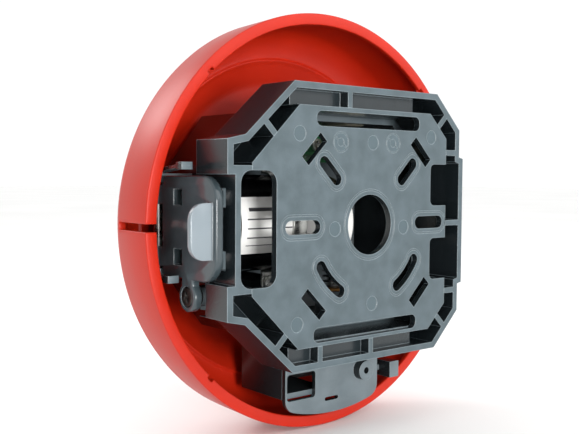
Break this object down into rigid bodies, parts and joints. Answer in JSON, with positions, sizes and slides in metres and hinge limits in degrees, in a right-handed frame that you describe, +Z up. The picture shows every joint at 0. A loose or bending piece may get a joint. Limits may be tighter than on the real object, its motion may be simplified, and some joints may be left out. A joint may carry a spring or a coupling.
{
  "type": "fire alarm bell",
  "caption": "Motor-driven under-dome fire alarm bell: a red gong over a hinged chassis that closes on a moulded wall box with a side latch.",
  "frame": {"origin": "centre of the cable hole, on the face of the box that lies on the wall", "axes": "+Z up, +Y into the wall, -Y forwards into the room, +X towards the latch"},
  "size_m": [0.15, 0.0645, 0.15],
  "materials": {
    "grey_moulding": "textured blue-grey moulding",
    "red_enamel": "satin red enamel on pressed steel",
    "black_enamel": "gloss black",
    "zinc_steel": "bright zinc plate",
    "spring_steel": "drawn wire",
    "washer_fibre": "black",
    "bronze": "sintered",
    "tinned_brass": "tinned",
    "ferrite": "dark grey",
    "laminated_steel": "laminated",
    "black_moulding": "black moulding",
    "white_label": "printed film, left blank",
    "acetal": "natural",
    "striker_steel": "turned",
    "board_laminate": "green solder mask",
    "cream_moulding": "cream moulding",
    "capacitor_sleeve": "dark sleeve",
    "red_insulation": "wire insulation",
    "black_insulation": "wire insulation"
  },
  "bodies": {
    "base": {"back_box": "grey_moulding", "back_plate": "grey_moulding", "hinge_pin": "zinc_steel"},
    "bell_unit": {"chassis": "grey_moulding", "striker_guard": "grey_moulding", "guard_screws": "zinc_steel", "motor_can": "black_enamel", "motor_end_cap": "black_moulding", "motor_bearings": "bronze", "motor_magnets": "ferrite", "motor_terminals": "tinned_brass", "rating_label": "white_label", "motor_strap": "zinc_steel", "strap_screws": "zinc_steel", "striker_bush": "bronze", "striker_spring": "spring_steel", "gong": "red_enamel", "gong_post": "zinc_steel", "gong_washers": "washer_fibre", "gong_nut": "zinc_steel", "latch_pivot_pin": "zinc_steel", "latch_spring": "spring_steel", "circuit_board": "board_laminate", "board_screws": "zinc_steel", "terminal_block": "cream_moulding", "terminal_screws": "zinc_steel", "capacitor": "capacitor_sleeve", "diode": "black_moulding", "board_socket": "black_moulding", "lead_red": "red_insulation", "lead_black": "black_insulation"},
    "rotor": {"motor_shaft": "zinc_steel", "motor_armature": "laminated_steel", "striker_cam": "acetal", "cam_grub_screw": "zinc_steel"},
    "striker": {"striker_rod": "zinc_steel", "striker_follower": "acetal", "striker_tip": "striker_steel"},
    "latch": {"latch_arm": "grey_moulding"},
    "lock_screw": {"lock_screw": "zinc_steel"}
  },
  "joints": [
    {"name": "bell_swing", "type": "hinge", "parent": "base", "child": "bell_unit", "pos_m": [-0.0535, -0.015, 0], "axis": [0, 0, -1], "range_deg": [0, 45]},
    {"name": "motor_spin", "type": "hinge", "parent": "bell_unit", "child": "rotor", "pos_m": [0, -0.0325, 0], "axis": [1, 0, 0], "continuous": true},
    {"name": "striker_slide", "type": "slide", "parent": "bell_unit", "child": "striker", "axis": [0, 0, -1], "range_m": [0, 0.004], "stiffness_N_per_m": 300, "springref_m": -0.001, "deforming": ["striker_spring"]},
    {"name": "latch_pivot", "type": "hinge", "parent": "bell_unit", "child": "latch", "pos_m": [0.06115, -0.0385, 0], "axis": [0, 0, -1], "range_deg": [-3, 3], "stiffness_Nm_per_rad": 0.05, "springref_deg": -8.59},
    {"name": "lock_screw_travel", "type": "slide", "parent": "latch", "child": "lock_screw", "axis": [1, 0, 0], "range_m": [0, 0.005]}
  ]
}
